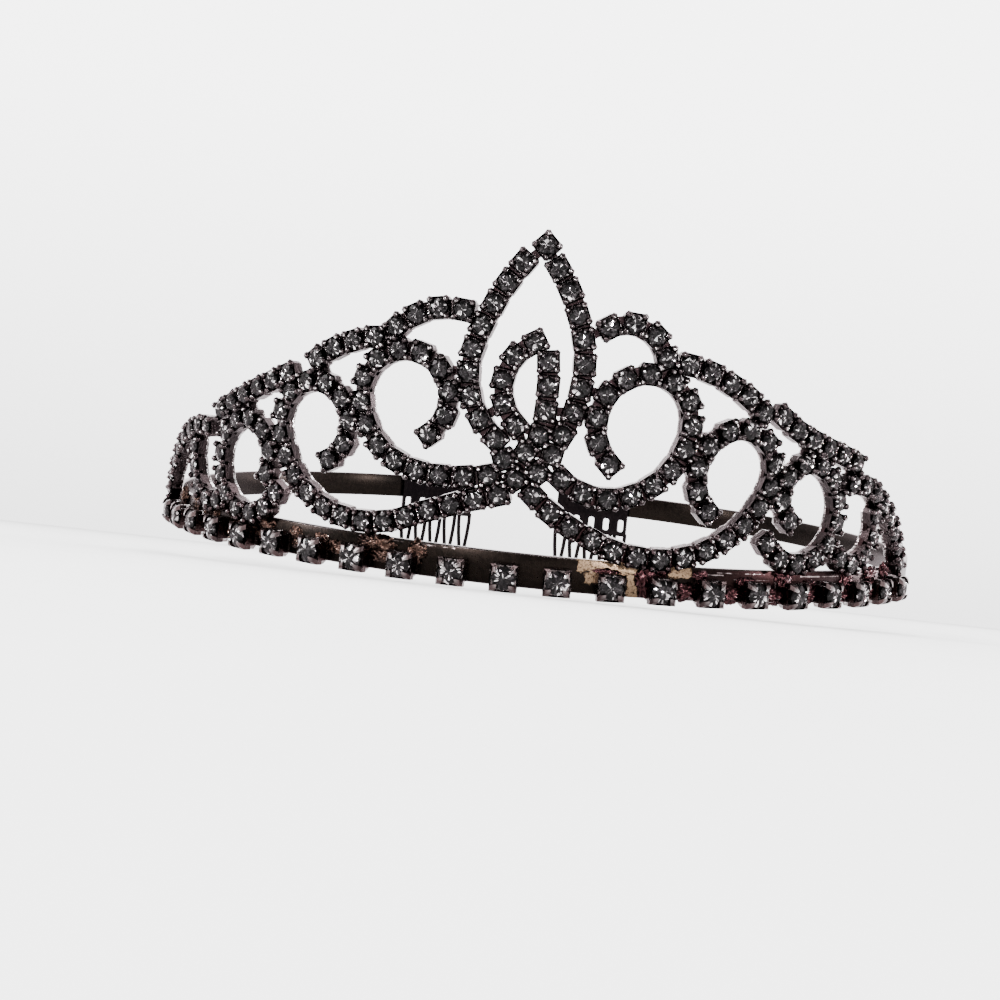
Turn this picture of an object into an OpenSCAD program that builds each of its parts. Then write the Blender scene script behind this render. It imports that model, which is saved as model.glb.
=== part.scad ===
// Tiara: a bent metal band with a row of larger set stones along its foot, an openwork
// of square set stones above it in scrolls and arches, and two hair combs at its ends.
// Each cup of the openwork is placed on the face of the band, unrolled: s runs along
// the band from its middle to the right, h runs up it from the foot row's centre line.
// All sizes are millimetres and degrees.

/* [Band] */
// outer radius of the ring that the band is bent to
ring_radius = 67; // [60:0.5:75]
// thickness of the strip
band_thickness = 1.0; // [0.8:0.1:1.6]
// top edge of the strip above the foot row's centre line
band_top = 3.5; // [3:0.1:5]
// bottom edge of the strip below that line
band_bottom = 1.4; // [1:0.1:2]
// where the left arm ends, turned from the front middle
left_end = 161.5; // [150:0.5:175]
// where the right arm ends, turned from the front middle
right_end = 179.2; // [165:0.1:180]

/* [Foot row] */
// number of large stones on each side of the middle one
foot_side = 10; // [6:1:11]
// distance from stone to stone along the band
foot_pitch = 7.43; // [6.5:0.01:8]
// place of the middle stone along the band
foot_middle = -0.55; // [-2:0.05:2]
// width of a large cup
foot_cup = 4.0; // [3.6:0.1:4.2]
// how far a large cup stands off the band
foot_rise = 3.0; // [2.4:0.1:3.4]
// girdle radius of a large stone
foot_stone = 1.6; // [1.4:0.05:1.7]

/* [Openwork] */
// distance from cup to cup along a strand
pitch = 3.42; // [3.3:0.01:3.6]
// width of a small cup
cup = 3.05; // [2.9:0.05:3.3]
// height of a small cup with its prongs
cup_rise = 2.4; // [2:0.1:2.8]
// girdle radius of a small stone
stone = 1.22; // [1.1:0.02:1.3]
// outward lean of the openwork
lean = 1.8; // [0:0.1:6]
// centres nearer than this are soldered across from strand to strand
solder_reach = 4.1; // [3.6:0.1:4.4]

/* [Combs] */
// width of a comb's plate along the band
comb_width = 17; // [14:0.5:20]
// plate's top edge above the foot row's centre line
comb_top = 4.0; // [3:0.1:5]
// height of the plate
comb_plate = 9; // [8:0.5:11]
// length of the teeth below the plate
tooth_length = 14.2; // [10:0.1:18]
// number of teeth
teeth = 5; // [4:1:7]
// free gap between a comb and the band, and between a stone and its cup
gap = 0.12; // [0.1:0.01:0.2]

/* [Hidden] */
$fn = 48;
deg = 180 / PI;

// The strands. Columns: group, s and h of the first cup, heading, then runs of
// [steps, turn at each step]. A heading of 0 points right along the band, 90 up.
STRANDS = [
  ["peak",          1.0, 46.4,   45, []],
  ["peak",         -1.8, 43.9, -126, [[4, 5.4], [4, 16.5]]],
  ["peak",          2.9, 43.5,  -55, [[3, -7.4], [4, -9.5]]],
  ["almond",        0.7, 33.2, -153, [[4, 27.5]]],
  ["almond",        2.7, 30.7,  -82, [[3, -6.2]]],
  ["lower_left",   -2.3, 11.6, -164, [[4, 1.9], [4, -11.3], [4, -12.9], [4, -30.7], [4, -33.5]]],
  ["lower_right",   2.3, 12.0,  -42, [[4, 6.3], [4, 10.3], [4, 11.0], [4, 34.1], [4, 28.2]]],
  ["upper_left",   -4.0, 14.2, -166, [[3, -7.5], [4, -17.8], [4, -29.6], [4, -30.9]]],
  ["upper_right",   6.0, 14.6,  -38, [[3, 19.8], [4, 16.7], [4, 31.1], [4, 26.0]]],
  ["arches_left",  -9.3, 36.7,  171, [[3, 18.1]]],
  ["arches_left", -21.9, 31.9, -173, [[3, 9.7]]],
  ["arches_left", -36.7, 25.5, -159, [[5, 0.9]]],
  ["arches_right", 10.3, 36.2,   30, [[3, -35.1]]],
  ["arches_right", 21.8, 32.2,  -10, [[4, -7.4]]],
  ["arches_right", 37.4, 26.2,  -33, [[3, 6.7], [2, -3.0]]],
  ["scroll_left", -37.8,  7.6, -119, [[4, -26.2], [4, -27.3], [4, -35.1]]],
  ["scroll_right", 37.4,  7.7,  -53, [[4, 27.0], [4, 25.6], [4, 40.6]]],
  ["end_left",    -56.6, 15.9,  178, [[3, 12.0], [4, 4.5]]],
  ["end_left",    -61.2, 12.3,  -98, [[4, 28.0]]],
  ["end_right",    53.3, 17.1,    6, [[2, -18.0], [5, -5.0]]],
  ["end_right",    60.4, 12.3,  -66, [[4, -37.0]]],
  // the cups where the strands cross, one by one
  ["almond",        0.8, 17.9,   65, []],
  ["almond",       -2.1, 16.6,   18, []],
  ["almond",        4.4, 17.9,  -10, []],
  ["almond",       -0.2, 14.0,   40, []],
  ["almond",        2.7, 15.2,   45, []]
];

// Lumps of solder that hold the strands on the band. Columns: s, h, radius.
SOLDER = [[-70, 3.2, 1.9], [-44, 3.4, 1.9], [-38, 3.6, 2.0], [-17.5, 3.8, 2.2], [19.5, 3.8, 2.2],
          [38, 3.6, 2.0], [43.5, 3.4, 1.9], [70, 3.2, 1.9]];

// Walks one strand: a list of [s, h, heading], one for each cup.
function steps(row) = [for (run = row[4]) for (i = [1:run[0]]) run[1]];
function walk(row) = let (t = steps(row))
  [for (i = 0, s = row[1], h = row[2], a = row[3]; i <= len(t);
        b = i < len(t) ? a + t[i] / 2 : a,
        s = s + pitch * cos(b), h = h + pitch * sin(b),
        a = i < len(t) ? a + t[i] : a, i = i + 1) [s, h, a]];
CUPS = [for (row = STRANDS) walk(row)];
FOOT = [for (i = [-foot_side:foot_side]) foot_middle + i * foot_pitch];

// Where two strands run close together: pairs of cups to be soldered.
JOINS = [for (i = [0:len(CUPS) - 2]) for (j = [i + 1:len(CUPS) - 1])
         for (p = CUPS[i]) for (q = CUPS[j])
         let (d = norm([p[0] - q[0], p[1] - q[1]])) if (d < solder_reach) [p, q, d]];

// Cups so close to another strand's cup that its corner would reach into their seat.
CROWDED = [for (strand = CUPS) for (c = strand)
           if (len([for (j = JOINS) if (j[2] < 1.15 * cup && (j[0] == c || j[1] == c)) 1]) > 0) c];

// The resting pose: the foot row's middle cup in front and the outermost tooth of each
// comb behind stand on the ground, so the tiara leans forward.
comb_radius = ring_radius - band_thickness - gap;
comb_thickness = 0.9;
comb_span = comb_width / comb_radius * deg;
tooth_pitch = comb_width / teeth * 1.04;
tip_radius = 0.6;
tooth_radius = comb_radius - comb_thickness / 2;
left_comb = left_end + 0.8 - comb_span / 2;
right_comb = right_end + 0.8 - comb_span / 2;
outer_tooth = (teeth - 1) / 2 * tooth_pitch / comb_radius * deg;
tip_level = comb_top - comb_plate - tooth_length + tip_radius;
left_tip_depth = ring_radius - tooth_radius * cos(left_comb - outer_tooth);
right_tip_depth = ring_radius - tooth_radius * cos(right_comb - outer_tooth);
front_level = -foot_cup / 2;
rest_a = tip_level - front_level;
rest_b = left_tip_depth + foot_rise;
rest_tilt = asin(tip_radius / norm([rest_a, rest_b])) - atan2(rest_a, rest_b);
right_drop = (right_tip_depth - left_tip_depth) * tan(rest_tilt);
rest_lift = -(front_level * cos(rest_tilt) - foot_rise * sin(rest_tilt));
// half of the tiara's depth on the ground, so that its middle stands over the origin
rest_back = 62.0;
rest_side = 0.0;

module in_rest() {
  translate([rest_side, -rest_back, rest_lift]) rotate([rest_tilt, 0, 0]) children();
}

// Local frame on the band's face: x along the band, y up it, z outward.
module on_face(s, h, heading = 0, tip = 0) {
  translate([0, ring_radius, 0]) rotate([0, 0, s / ring_radius * deg])
    translate([0, -ring_radius - h * sin(tip), h * cos(tip)])
      rotate([90 + tip, 0, 0]) rotate([0, 0, heading]) children();
}

// A square cup with a round seat and four corner prongs.
module setting(width, rise, seat, floor_height, slot) {
  difference() {
    translate([-width / 2, -width / 2, -0.25]) cube([width, width, rise + 0.25]);
    translate([0, 0, floor_height]) cylinder(h = rise, r = seat + gap);
    for (a = [0, 90]) rotate([0, 0, a])
      translate([-width, -slot / 2, rise * 0.68]) cube([2 * width, slot, rise]);
  }
}

// A cut stone: table, eight crown facets, girdle, eight pavilion facets.
module cut_stone(r, level) {
  table = 0.56 * r; crown = 0.32 * r; girdle = 0.08 * r; depth = 0.72 * r;
  ring = function (q, z, turn) [for (i = [0:7]) [q * cos(45 * i + turn), q * sin(45 * i + turn), z]];
  translate([0, 0, level]) polyhedron(
    points = concat(ring(table, crown, 0), ring(r, 0, 0), ring(r, -girdle, 0), [[0, 0, -depth]]),
    faces = concat([[for (i = [7:-1:0]) i]],
      [for (k = [0, 8]) for (i = [0:7]) [k + i, k + (i + 1) % 8, k + 8 + (i + 1) % 8, k + 8 + i]],
      [for (i = [0:7]) [16 + i, 16 + (i + 1) % 8, 24]]));
}

module band() {
  color("#6b4a44") translate([0, ring_radius, -band_bottom]) rotate([0, 0, -90 - left_end])
    rotate_extrude(angle = left_end + right_end)
      translate([ring_radius - band_thickness, 0]) square([band_thickness, band_top + band_bottom]);
}

module foot_cups() {
  color("#7a5450") for (s = FOOT) on_face(s, 0)
    setting(foot_cup, foot_rise, foot_stone, 1.0, foot_cup * 0.46);
}

// Where cups crowd, the seats are cut once more through all of them, a trifle wider.
module openwork() {
  color("#83605c") difference() {
    for (strand = CUPS) for (c = strand)
      on_face(c[0], c[1], c[2], lean) setting(cup, cup_rise, stone, 0.8, cup * 0.46);
    for (c = CROWDED) on_face(c[0], c[1], c[2], lean)
      translate([0, 0, 0.78]) cylinder(h = cup_rise, r = stone + gap + 0.03);
  }
}

// Flat links under the cups, along each strand and across from strand to strand.
module links() {
  color("#6f4d48") {
    for (strand = CUPS) if (len(strand) > 1) for (i = [0:len(strand) - 2]) bar(strand[i], strand[i + 1], 1.2);
    for (j = JOINS) bar(j[0], j[1], 1.3);
    for (b = SOLDER) on_face(b[0], b[1]) translate([0, 0, -0.6]) cylinder(h = 1.5, r = b[2]);
  }
}
module bar(p, q, width) {
  d = norm([q[0] - p[0], q[1] - p[1]]);
  on_face(p[0], p[1], atan2(q[1] - p[1], q[0] - p[0]), lean)
    translate([0, -width / 2, -0.1]) cube([d, width, 0.7]);
}

module metal_frame() { in_rest() { band(); foot_cups(); openwork(); links(); } }

module stones_of(group) {
  color("#4a4648") in_rest() for (k = [0:len(STRANDS) - 1]) if (STRANDS[k][0] == group)
    for (c = CUPS[k]) on_face(c[0], c[1], c[2], lean) cut_stone(stone, 1.85);
}
module stones_foot() {
  color("#4a4648") in_rest() for (s = FOOT) on_face(s, 0) cut_stone(foot_stone, 2.35);
}

// A hair comb: a curved plate with slots, and teeth of two prongs that meet in a stem.
module comb(angle, drop) {
  stem = tooth_length * 0.33; spread = 1.25; wire = 0.45;
  in_rest() translate([0, ring_radius, comb_top - comb_plate - drop]) color("#2a2022") {
    difference() {
      rotate([0, 0, -90 + angle - comb_span / 2]) rotate_extrude(angle = comb_span)
        translate([comb_radius - comb_thickness, 0]) square([comb_thickness, comb_plate]);
      for (i = [0:teeth - 1]) rotate([0, 0, angle + (i - (teeth - 1) / 2) * tooth_pitch / comb_radius * deg])
        translate([0, -tooth_radius, 1.0]) slot();
    }
    for (i = [0:teeth - 1]) rotate([0, 0, angle + (i - (teeth - 1) / 2) * tooth_pitch / comb_radius * deg])
      translate([0, -tooth_radius, 0]) {
        for (side = [-1, 1]) prong(side * spread, tooth_length - stem, wire);
        translate([0, 0, -tooth_length + tip_radius]) cylinder(h = stem + 0.5, r = tip_radius * 0.9);
        translate([0, 0, -tooth_length + tip_radius]) sphere(r = tip_radius);
      }
  }
}
module slot() {
  for (z = [0.7, 2.1]) translate([0, 0, z]) rotate([90, 0, 0]) cylinder(h = 4, r = 0.7, center = true);
  translate([-0.7, -2, 0.7]) cube([1.4, 4, 1.4]);
}
module prong(x, drop, wire) {
  a = atan2(x, drop);
  translate([x, 0, 0.3]) rotate([0, 180 + a, 0]) cylinder(h = norm([x, drop]) + 0.3, r = wire);
}

module stones_peak() { stones_of("peak"); }
module stones_almond() { stones_of("almond"); }
module stones_lower_left() { stones_of("lower_left"); }
module stones_lower_right() { stones_of("lower_right"); }
module stones_upper_left() { stones_of("upper_left"); }
module stones_upper_right() { stones_of("upper_right"); }
module stones_arches_left() { stones_of("arches_left"); }
module stones_arches_right() { stones_of("arches_right"); }
module stones_scroll_left() { stones_of("scroll_left"); }
module stones_scroll_right() { stones_of("scroll_right"); }
module stones_end_left() { stones_of("end_left"); }
module stones_end_right() { stones_of("end_right"); }
module comb_left() { comb(-left_comb, 0); }
module comb_right() { comb(right_comb, right_drop); }

metal_frame();
stones_foot();
stones_peak();
stones_almond();
stones_lower_left();
stones_lower_right();
stones_upper_left();
stones_upper_right();
stones_arches_left();
stones_arches_right();
stones_scroll_left();
stones_scroll_right();
stones_end_left();
stones_end_right();
comb_left();
comb_right();
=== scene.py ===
# %% [markdown]
# # A tiara of small set stones
# The tiara is a bent metal band with a row of larger stones along its foot, an openwork of
# small square cups above it, each with a cut stone, and two hair combs behind. The packed
# model gives every part its place and size. This lesson gives the parts what the eye sees
# from close by: cups with rounded prongs, cut facets, crinkled solder, and plating with wear
# and with painted highlights and glints.

# %% Open the imported model
import math, random
import bpy, bmesh
from mathutils import Matrix, Vector, noise


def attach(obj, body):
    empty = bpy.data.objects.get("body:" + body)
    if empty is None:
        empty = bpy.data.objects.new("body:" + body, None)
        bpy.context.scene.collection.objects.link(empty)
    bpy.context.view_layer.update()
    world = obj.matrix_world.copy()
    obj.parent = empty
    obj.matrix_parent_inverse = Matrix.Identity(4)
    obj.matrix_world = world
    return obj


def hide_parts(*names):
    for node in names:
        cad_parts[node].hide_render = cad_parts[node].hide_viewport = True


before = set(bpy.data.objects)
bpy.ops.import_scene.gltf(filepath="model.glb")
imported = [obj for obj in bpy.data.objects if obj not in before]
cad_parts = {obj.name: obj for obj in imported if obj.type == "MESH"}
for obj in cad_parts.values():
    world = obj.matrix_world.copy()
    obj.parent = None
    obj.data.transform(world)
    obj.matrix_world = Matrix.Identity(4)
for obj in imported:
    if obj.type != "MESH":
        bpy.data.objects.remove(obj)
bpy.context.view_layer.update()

# %% [markdown]
# ## Sizes
# The sizes are those of the part's own source. Small things are easier to think of in
# millimetres, so each shape is drawn in millimetres and made metres when it is finished.

# %% Sizes in millimetres, angles in degrees from the front middle
MM = 0.001
RING, THICK, BAND_TOP, BAND_BOTTOM = 67.0, 1.0, 3.5, 1.4
LEFT_END, RIGHT_END = 161.5, 179.2
FOOT_SIDE, FOOT_PITCH, FOOT_MIDDLE = 10, 7.43, -0.55
FOOT_CUP, FOOT_RISE, FOOT_STONE = 4.0, 3.0, 1.6
PITCH, CUP, CUP_RISE, STONE = 3.42, 3.05, 2.4, 1.22
LEAN, SOLDER_REACH = math.radians(1.8), 4.1
COMB_WIDTH, COMB_TOP, COMB_PLATE, COMB_THICK = 17.0, 4.0, 9.0, 0.9
TEETH, TOOTH_LENGTH, TIP, GAP = 5, 14.2, 0.6, 0.12
FORWARD = 62.0
print(f"{2 * FOOT_SIDE + 1} foot cups on a ring {2 * RING:.0f} mm across")

# %% [markdown]
# ## The way it stands
# The tiara leans forward until the middle cup of its foot row touches the ground in front,
# and the foremost tooth of each comb behind. The lean follows from those three points, so
# it is worked out here once and applied to every shape. The right comb sits further round
# the ring, so it is set a little lower, for both combs to reach the ground.

# %% Work out the resting pose
COMB_RADIUS = RING - THICK - GAP
TOOTH_RADIUS = COMB_RADIUS - COMB_THICK / 2
TOOTH_PITCH = COMB_WIDTH / TEETH * 1.04
half_span = math.degrees(COMB_WIDTH / COMB_RADIUS) / 2
left_comb, right_comb = LEFT_END + 0.8 - half_span, RIGHT_END + 0.8 - half_span
outer_tooth = math.degrees((TEETH - 1) / 2 * TOOTH_PITCH / COMB_RADIUS)

def tooth_depth(comb):
    """How far behind the band's front the foremost tooth of a comb stands."""
    return RING - TOOTH_RADIUS * math.cos(math.radians(comb - outer_tooth))

fall = COMB_TOP - COMB_PLATE - TOOTH_LENGTH + TIP + FOOT_CUP / 2
reach = tooth_depth(left_comb) + FOOT_RISE
tilt = math.asin(TIP / math.hypot(fall, reach)) - math.atan2(fall, reach)
lift = FOOT_CUP / 2 * math.cos(tilt) + FOOT_RISE * math.sin(tilt)
right_drop = (tooth_depth(right_comb) - tooth_depth(left_comb)) * math.tan(tilt)
REST = Matrix.Translation((0, -FORWARD, lift)) @ Matrix.Rotation(tilt, 4, "X")
print(f"leans forward by {math.degrees(tilt):.2f} degrees, lifted {lift:.2f} mm")

# %% [markdown]
# ## Places on the band
# Every cup sits on the outside of the ring. It is handy to unroll the ring like a label
# from a tin: `s` runs along the band from its middle and `h` runs up it. One matrix then
# carries a shape that was drawn flat on the table, base down, to its place on the ring.

# %% From the unrolled band to its place
def on_face(s, h, heading=0.0, tip=0.0):
    """Carries a flat-drawn shape to the band: its z points away from the ring."""
    return (REST @ Matrix.Translation((0, RING, 0)) @ Matrix.Rotation(s / RING, 4, "Z")
            @ Matrix.Translation((0, -RING - h * math.sin(tip), h * math.cos(tip)))
            @ Matrix.Rotation(math.radians(90) + tip, 4, "X")
            @ Matrix.Rotation(math.radians(heading), 4, "Z"))

tip_of_tiara = on_face(1.0, 46.4, 45, LEAN) @ Vector((0, 0, CUP_RISE))
print("the highest cup is at", [round(v, 1) for v in tip_of_tiara], "mm")

# %% [markdown]
# ## Where the camera stands
# The photograph looks at the tiara from close by, a little from the right and turned by
# some degrees, about level with the foot row. Seen from so low, a tiara that stands on a
# table would hide behind the table's edge, so the camera is carried up and over along a
# circle about the tiara until it is just above the surface. It keeps its distance, its
# turn and its framing.

# %% Camera: its place in mm and its angles in degrees, against the unturned tiara
CAMERA_SPOT, CAMERA_ANGLES = (14.4, -196.9, 12.6), (-4.83, -0.60, 5.59)
RAISE, RAISE_ABOUT = math.radians(4.3), 200.0
yaw, pitch, roll = map(math.radians, CAMERA_ANGLES)
ahead = Vector((math.sin(yaw) * math.cos(pitch), math.cos(yaw) * math.cos(pitch), math.sin(pitch)))
side = Vector((math.cos(yaw), -math.sin(yaw), 0))
up = side.cross(ahead)
right = math.cos(roll) * side + math.sin(roll) * up
above = -math.sin(roll) * side + math.cos(roll) * up
stand = Matrix((right, above, -ahead)).transposed().to_4x4()
stand.translation = CAMERA_SPOT
stand = REST @ stand
pivot = stand @ Vector((0, 0, -RAISE_ABOUT))
level_side = (stand.to_3x3() @ Vector((0, 0, -1))).cross(Vector((0, 0, 1))).normalized()
stand = (Matrix.Translation(pivot) @ Matrix.Rotation(-RAISE, 4, level_side)
         @ Matrix.Translation(-pivot) @ stand)
lens = bpy.data.cameras.new("photo_camera")
lens.sensor_width, lens.lens = 36.0, 50.4
lens.clip_start, lens.clip_end = 0.002, 20
camera = bpy.data.objects.new("photo_camera", lens)
camera.location = stand.translation * MM
camera.rotation_euler = stand.to_euler()
bpy.context.scene.collection.objects.link(camera)
bpy.context.scene.camera = camera
print(f"camera {stand.translation.z:.1f} mm above the surface, {-stand.translation.y:.0f} mm in front")

# %% [markdown]
# ## Finishing a piece
# Each piece is drawn as a bmesh. `finish_piece` makes it metres, puts it in the scene with
# its material, hangs it on the body it rides on and hides the plain part that it stands for.
# `copies` joins many placed copies of one small shape, so a cup is drawn only once.

# %% Helpers for pieces
def finish_piece(name, shape, material, stands_for):
    """Turns a bmesh in millimetres into a finished piece of the scene."""
    bmesh.ops.scale(shape, vec=(MM, MM, MM), verts=shape.verts)
    mesh = bpy.data.meshes.new(name)
    shape.to_mesh(mesh)
    shape.free()
    mesh.materials.append(material)
    piece = bpy.data.objects.new(name, mesh)
    bpy.context.scene.collection.objects.link(piece)
    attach(piece, "root")
    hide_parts(stands_for)
    print(f"{name}: {len(mesh.polygons)} faces")

def as_pattern(name, shape):
    """Keeps a small shape as a mesh that can be copied many times."""
    bmesh.ops.recalc_face_normals(shape, faces=shape.faces)
    mesh = bpy.data.meshes.new(name)
    shape.to_mesh(mesh)
    shape.free()
    print(f"pattern {name}: {len(mesh.polygons)} faces")
    return mesh

def copies(whole, pattern, places):
    """Adds a pattern to a bmesh once for each matrix in places."""
    for place in places:
        first = len(whole.verts)
        whole.from_mesh(pattern)
        whole.verts.ensure_lookup_table()
        bmesh.ops.transform(whole, matrix=place, verts=whole.verts[first:])
    return whole

# %% [markdown]
# ## Shader groups
# Plating is never one even colour. It drifts from rose to gunmetal over some millimetres,
# is mottled at a tenth of that, and is polished where fingers and cloths reach it; the same
# input also lightens faces as painted highlights and scatters painted glints. Several
# finishes need that drift, so it is a node group with named sockets, and so are the fine
# marks that break up every reflection. The shaders stay in the materials. Nodes are added
# with a few helpers, so that each line of a material reads like a line of arithmetic.

# %% Helpers for nodes
def start_group(name, takes, gives):
    """A node group that takes (label, kind, value) and gives (label, kind)."""
    tree = bpy.data.node_groups.new(name, "ShaderNodeTree")
    for label, kind, value in takes:
        socket = tree.interface.new_socket(name=label, in_out="INPUT", socket_type=kind)
        if value is not None:
            socket.default_value = value
    for label, kind in gives:
        tree.interface.new_socket(name=label, in_out="OUTPUT", socket_type=kind)
    return tree, tree.nodes.new("NodeGroupInput"), tree.nodes.new("NodeGroupOutput")

def add(tree, kind, **settings):
    """A new node of a kind, with its settings."""
    node = tree.nodes.new(kind)
    for key, value in settings.items():
        setattr(node, key, value)
    return node

def noise_node(tree, vector, scale, detail=3.0, rough=0.55):
    """A noise, whose scale is a number or a socket."""
    node = add(tree, "ShaderNodeTexNoise")
    node.inputs["Detail"].default_value = detail
    node.inputs["Roughness"].default_value = rough
    tree.links.new(vector, node.inputs["Vector"])
    if isinstance(scale, (int, float)):
        node.inputs["Scale"].default_value = scale
    else:
        tree.links.new(scale, node.inputs["Scale"])
    return node

def ramp_node(tree, value, stops):
    """A ramp through stops, each a place with a grey or a colour."""
    node = add(tree, "ShaderNodeValToRGB")
    ramp = node.color_ramp
    while len(ramp.elements) < len(stops):
        ramp.elements.new(0.5)
    for element, (place, colour) in zip(ramp.elements, stops):
        element.position = place
        element.color = (*colour, 1) if len(colour) == 3 else (colour[0],) * 3 + (1,)
    tree.links.new(value, node.inputs["Fac"])
    return node

def mix_colour(tree, factor, low, high):
    """Goes from one colour to another by a factor; each is a value or a socket."""
    node = add(tree, "ShaderNodeMix", data_type="RGBA")
    for value, socket in ((factor, node.inputs[0]), (low, node.inputs[6]), (high, node.inputs[7])):
        if isinstance(value, (float, int)):
            socket.default_value = value
        elif isinstance(value, tuple):
            socket.default_value = (*value, 1)
        else:
            tree.links.new(value, socket)
    return node.outputs[2]

def math_node(tree, what, a, b=0.0, clamp=False):
    """One step of arithmetic with numbers or sockets."""
    node = add(tree, "ShaderNodeMath", operation=what, use_clamp=clamp)
    for value, socket in zip((a, b), node.inputs):
        if isinstance(value, (float, int)):
            socket.default_value = value
        else:
            tree.links.new(value, socket)
    return node.outputs[0]

print("helpers for nodes are ready")

# %% [markdown]
# ### How the plating drifts
# Rose and gunmetal take turns in broad patches. Where the shape's wear value is high, the
# plating is lighter, partly as wear and partly as a painted highlight, and the higher it
# is, the more specks of a fine cell pattern turn bright: uncovered metal and painted glints.

# %% The drift of the plating
drift, taken, given = start_group("plating_drift",
    [("Vector", "NodeSocketVector", None), ("Rose", "NodeSocketColor", (0.4, 0.2, 0.2, 1)),
     ("Gunmetal", "NodeSocketColor", (0.05, 0.04, 0.04, 1)),
     ("Bare_and_glint", "NodeSocketColor", (0.6, 0.6, 0.6, 1)),
     ("Thin_and_lit", "NodeSocketColor", (0.05, 0.042, 0.043, 1)),
     ("Patches", "NodeSocketFloat", 90.0), ("Polish_and_glint", "NodeSocketFloat", 0.0)],
    [("Color", "NodeSocketColor"), ("Dullness", "NodeSocketFloat")])
broad = noise_node(drift, taken.outputs["Vector"], taken.outputs["Patches"], 2.0)
mottle = noise_node(drift, taken.outputs["Vector"], 1500.0, 3.0)
both = math_node(drift, "ADD", math_node(drift, "MULTIPLY", broad.outputs["Fac"], 0.6),
                 math_node(drift, "MULTIPLY", mottle.outputs["Fac"], 0.4))
patch = ramp_node(drift, both, [(0.40, (0.0,)), (0.60, (1.0,))])
rosy = mix_colour(drift, patch.outputs["Color"], taken.outputs["Gunmetal"], taken.outputs["Rose"])
# Bright specks of a fine cell pattern where the wear value is high: uncovered metal and painted glints
specks = add(drift, "ShaderNodeTexVoronoi", feature="F1")
specks.inputs["Scale"].default_value = 4200.0
drift.links.new(taken.outputs["Vector"], specks.inputs["Vector"])
chance = add(drift, "ShaderNodeSeparateColor")
drift.links.new(specks.outputs["Color"], chance.inputs[0])
odds = math_node(drift, "ADD", math_node(drift, "MULTIPLY", chance.outputs[0], 0.5),
                 math_node(drift, "MULTIPLY", taken.outputs["Polish_and_glint"], 0.27))
bare_and_glint = ramp_node(drift, odds, [(0.60, (0.0,)), (0.72, (1.0,))])
# Lighter plating where the wear value is high: wear and painted highlights
rub_and_light = math_node(drift, "MULTIPLY", taken.outputs["Polish_and_glint"], 0.5)
thinned_and_lit = mix_colour(drift, rub_and_light, rosy, taken.outputs["Thin_and_lit"])
flecked = mix_colour(drift, bare_and_glint.outputs["Color"], thinned_and_lit, taken.outputs["Bare_and_glint"])
drift.links.new(flecked, given.inputs["Color"])
dull = math_node(drift, "SUBTRACT", math_node(drift, "MULTIPLY", mottle.outputs["Fac"], 0.5),
                 math_node(drift, "MULTIPLY", taken.outputs["Polish_and_glint"], 0.12), True)
drift.links.new(dull, given.inputs["Dullness"])
print("group", drift.name, "has", len(drift.nodes), "nodes")

# %% [markdown]
# ### Fine marks
# Two noises are added, one of them drawn out to upright scratches. Their sum is a height
# for the bumps, and the hollows of the other gather grime.

# %% Fine marks
marks, taken, given = start_group("fine_marks",
    [("Vector", "NodeSocketVector", None), ("Scale", "NodeSocketFloat", 2500.0)],
    [("Height", "NodeSocketFloat"), ("Grime", "NodeSocketFloat")])
stretch = add(marks, "ShaderNodeMapping")
stretch.inputs["Scale"].default_value = (1.0, 1.0, 0.12)
marks.links.new(taken.outputs["Vector"], stretch.inputs["Vector"])
lines = noise_node(marks, stretch.outputs["Vector"], taken.outputs["Scale"], 2.0)
grain = noise_node(marks, taken.outputs["Vector"], taken.outputs["Scale"], 4.0)
marks.links.new(math_node(marks, "ADD", lines.outputs["Fac"], grain.outputs["Fac"]), given.inputs["Height"])
grime = ramp_node(marks, grain.outputs["Fac"], [(0.35, (1.0,)), (0.6, (0.0,))])
marks.links.new(grime.outputs["Color"], given.inputs["Grime"])
print("group", marks.name, "has", len(marks.nodes), "nodes")

# %% [markdown]
# ## Plated metal
# The cups, links and band are brass, plated first in a dark nickel and then thinly in rose
# gold. In the photograph they look nearly black with a rose tinge, because a polished metal
# shows its surroundings and not its own light. So the colours here are dark, and the shine
# comes from small lamps and from painted highlights and glints. Where a shape carries a wear
# attribute, such as on the prongs' tips, the plating is brighter and smoother: partly wear,
# partly painted highlights and glints. Near the foot row the cups and links reflect
# the red solder, so `red_foot` mixes in that much of a low red.

# %% The plated finishes
LOW_RED, GRIME = (0.019, 0.0062, 0.0068), (0.003, 0.002, 0.002)
RED_FROM, RED_UP_TO = 4.0, 20.0

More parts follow.
